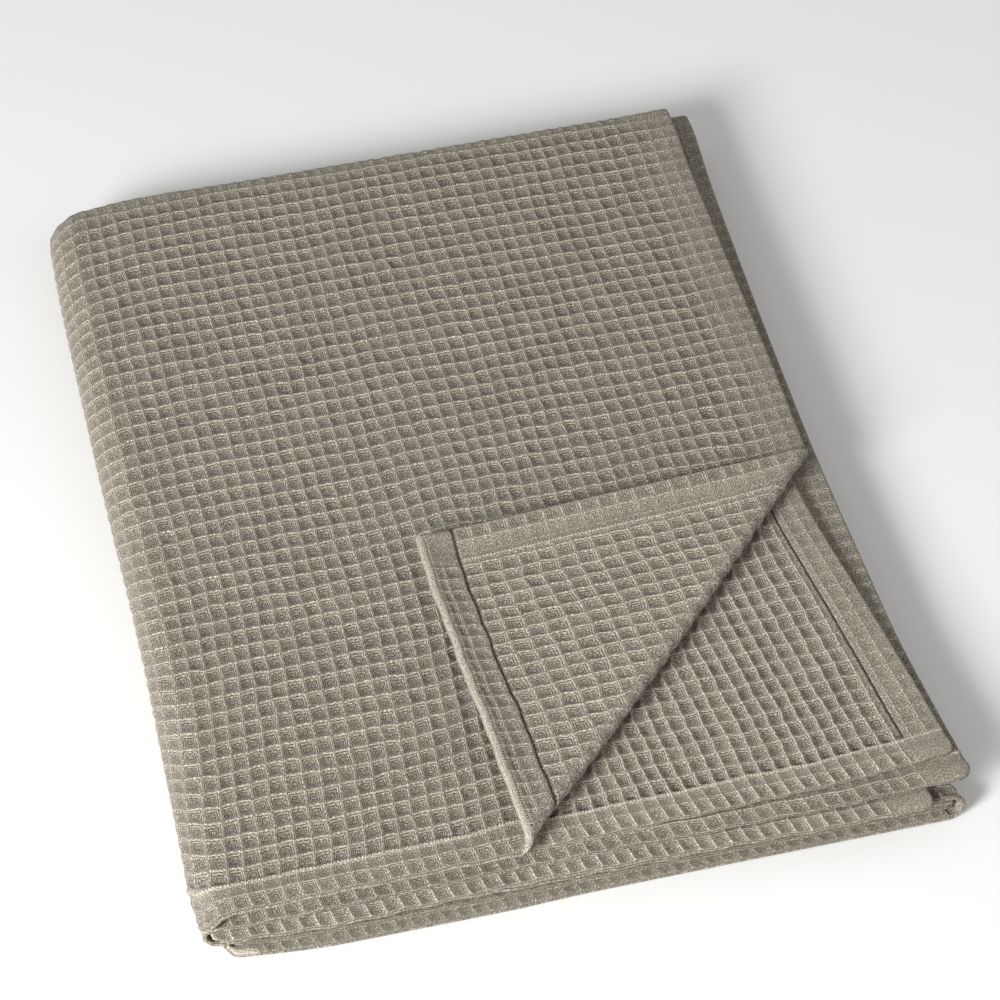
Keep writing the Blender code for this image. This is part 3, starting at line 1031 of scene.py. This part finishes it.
def hem_seams():
    """The masks of the painted highlight and shade along the hems' sewn lines, from a place counted in
    cells and the cloth's side.
    """
    group, given, result = new_group(
        "hem_seams", {"Back Side": 0.0, "Stitches": 5.0}, ("Raised", "Sunk", "Roll"),
    )
    place = add_node(group, "ShaderNodeSeparateXYZ", {0: given["Place"]})
    column, row = place.outputs["X"], place.outputs["Y"]
    across, along = fold_to_edge(group, column, COLUMNS), fold_to_edge(group, row, ROWS)
    outer = calc(group, "LESS_THAN", row, ROWS / 2)
    outer = product(group, outer, calc(group, "LESS_THAN", column, LOWEST_FROM))
    folded_ply = product(group, outer, given["Back Side"])
    inside = calc(group, "GREATER_THAN", along, FRONT_HEM)

    def line_at(distance, cells, half_width):
        away = calc(group, "ABSOLUTE", less(group, distance, cells))
        return opposite(group, band(group, away, half_width * 0.4, half_width))

    def stitched(along_line):
        stitch = calc(group, "FRACT", product(group, along_line, given["Stitches"]))
        return calc(group, "GREATER_THAN", stitch, 0.45)

    side_raised = product(group, line_at(across, SIDE_HEM, 0.16), inside, folded_ply)
    side_sunk = product(group, line_at(across, SIDE_HEM, 0.10), inside, opposite(group, outer))
    front_raised = product(group, line_at(along, FRONT_HEM, 0.25), opposite(group, folded_ply))
    front_sunk = product(group, line_at(along, FRONT_HEM, 0.12), folded_ply)
    raised = calc(group, "MAXIMUM", side_raised, front_raised)
    sunk = calc(group, "MAXIMUM", side_sunk, front_sunk)

    front_gap = product(group, line_at(along, FRONT_HEM - 0.02, 0.05), stitched(column))
    side_gap = product(group, line_at(across, SIDE_HEM, 0.045), stitched(row), inside)
    gap = calc(group, "MAXIMUM", front_gap, side_gap)
    raised = less(group, raised, product(group, raised, 2.2, gap))

    mid_cell = calc(group, "ABSOLUTE", less(group, calc(group, "FRACT", column), 0.5))
    mid_cell = opposite(group, band(group, mid_cell, 0.15, 0.32))
    beyond_side = calc(group, "GREATER_THAN", across, SIDE_HEM)
    uneven = noise(group, given["Place"], 0.9, 0.0).outputs["Fac"]
    # painted shade in the small holes where the tucks open
    holes = product(
        group, line_at(along, FRONT_HEM + TUCK_AT, 0.12), mid_cell,
        opposite(group, folded_ply), beyond_side, band(group, uneven, 0.35, 0.62, 0.15, 1.1),
    )
    sunk = calc(group, "MAXIMUM", sunk, product(group, holes, 0.7))

    # the folded ply's roll gets a painted highlight, broken by its stitches
    dashes = product(group, line_at(along, 0.36, 0.08), stitched(column), 2.2)
    roll = less(group, opposite(group, band(group, along, 0.48, 0.56)), dashes)
    group.links.new(raised, result["Raised"])
    group.links.new(sunk, result["Sunk"])
    group.links.new(product(group, roll, folded_ply), result["Roll"])
    return group


# %% [markdown]
# The cotton's lightness is a sum: the fluff, the rings of thread, the ridges and the hems add to it or
# take from it, and a ramp from dark to pale warm grey makes a colour of it. Part of it is painted
# light: a highlight on the ridges, the raised seams and the folded ply's roll, and shade in the pits,
# the sunk seams, the tuck holes and at the rims. The same threads and ridges are its fine bump. A
# little sheen stands for the fibres' halo.

# %% The cotton
# The ramp's dark end also gives the painted shade, and its light end the painted highlights.
DARK_END_COLOUR = (0.050, 0.042, 0.030, 1.0)
CLOTH_COLOUR = (0.258, 0.229, 0.178, 1.0)
LIGHT_END_COLOUR = (0.655, 0.600, 0.500, 1.0)
BUMP_HEIGHT = 0.0006


def weighed_sum(tree, total, shares):
    """Adds shares of other values to a value."""
    for value, share in shares:
        total = calc(tree, "ADD", total, product(tree, value, share))
    return total


def cotton(threads_group, seams_group):
    """Warm grey waffle cotton."""
    material = bpy.data.materials.new("waffle_cotton")
    material.use_nodes = True
    tree = material.node_tree
    shader = tree.nodes["Principled BSDF"]
    place = add_node(tree, "ShaderNodeUVMap", uv_map="weave").outputs["UV"]
    hollow, clear, back, rim = (
        add_node(tree, "ShaderNodeAttribute", attribute_name=name).outputs["Fac"]
        for name in ("hollow", "clear", "back", "rim")
    )
    threads = add_node(
        tree, "ShaderNodeGroup", {"Place": place, "Rim": rim, "Back Side": back}, node_tree=threads_group,
    )
    hems = add_node(tree, "ShaderNodeGroup", {"Place": place, "Back Side": back}, node_tree=seams_group)
    fluff, thread = threads.outputs["Fluff"], threads.outputs["Thread"]
    ridge = product(tree, threads.outputs["Ridge"], band(tree, clear, 0.0, 0.8, 0.25, 1.0))
    raised, sunk, roll = (hems.outputs[name] for name in ("Raised", "Sunk", "Roll"))
    rings = product(tree, less(tree, thread, 0.54), band(tree, clear, 0.0, 1.0, 0.14, 0.52))
    # a painted highlight on the ridges, on top of the threads' own lightness
    ridge_highlight = product(tree, ridge, calc(tree, "MULTIPLY_ADD", fluff, 0.20, 0.03))
    patches = calc(tree, "MULTIPLY_ADD", noise(tree, place, 0.35, 2.0).outputs["Fac"], 0.16, -0.05)
    light = weighed_sum(tree, calc(tree, "MULTIPLY_ADD", fluff, 0.50, 0.23), (
        (rings, 1.0),
        # painted highlight on the ridges
        (ridge_highlight, 1.0),
        # painted shade in the pits, darker the deeper they are
        (band(tree, hollow, 0.1, 0.8), -0.18),
        (patches, 1.0),
        # painted highlight on the raised seams
        (raised, 0.26),
        # painted shade at the rims, in the gaps between the layers
        (band(tree, rim, 0.0, 0.5), -0.14),
        # painted shade in the sunk seams and the tuck holes
        (sunk, -0.50),
        # painted highlight on the folded ply's roll
        (roll, 0.28),
        (back, 0.06),
    ))
    ramp = add_node(tree, "ShaderNodeValToRGB", {"Fac": light})
    stops = ramp.color_ramp.elements
    stops[0].position, stops[0].color = 0.0, DARK_END_COLOUR
    stops[1].position, stops[1].color = 1.0, LIGHT_END_COLOUR
    stops.new(0.5).color = CLOTH_COLOUR
    tree.links.new(ramp.outputs["Color"], shader.inputs["Base Color"])
    height = calc(tree, "MULTIPLY_ADD", thread, 0.45, product(tree, fluff, 0.6))
    height = weighed_sum(tree, height, ((ridge, 0.7), (raised, 0.6)))
    bump = add_node(tree, "ShaderNodeBump", {"Height": height, "Distance": BUMP_HEIGHT, "Strength": 1.0})
    tree.links.new(bump.outputs["Normal"], shader.inputs["Normal"])
    shader.inputs["Roughness"].default_value = 0.95
    shader.inputs["Specular IOR Level"].default_value = 0.15
    shader.inputs["Sheen Weight"].default_value = 0.12
    shader.inputs["Sheen Roughness"].default_value = 0.6
    return material


COTTON = cotton(waffle_threads(), hem_seams())
print("the cotton has", len(COTTON.node_tree.nodes), "nodes")

# %% [markdown]
# Last, each piece gets the cotton and is tied to the frame's root, and the imported blanket is
# hidden.

# %% Tie the pieces to the frame
def hand_over(piece):
    """Gives a piece its cotton, ties it to the frame's root, and hides the imported blanket."""
    piece.data.materials.append(COTTON)
    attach(piece, "root")
    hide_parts("blanket")


hand_over(top_layer)
hand_over(second_layer)
hand_over(under_layers)
hand_over(lowest_layers)
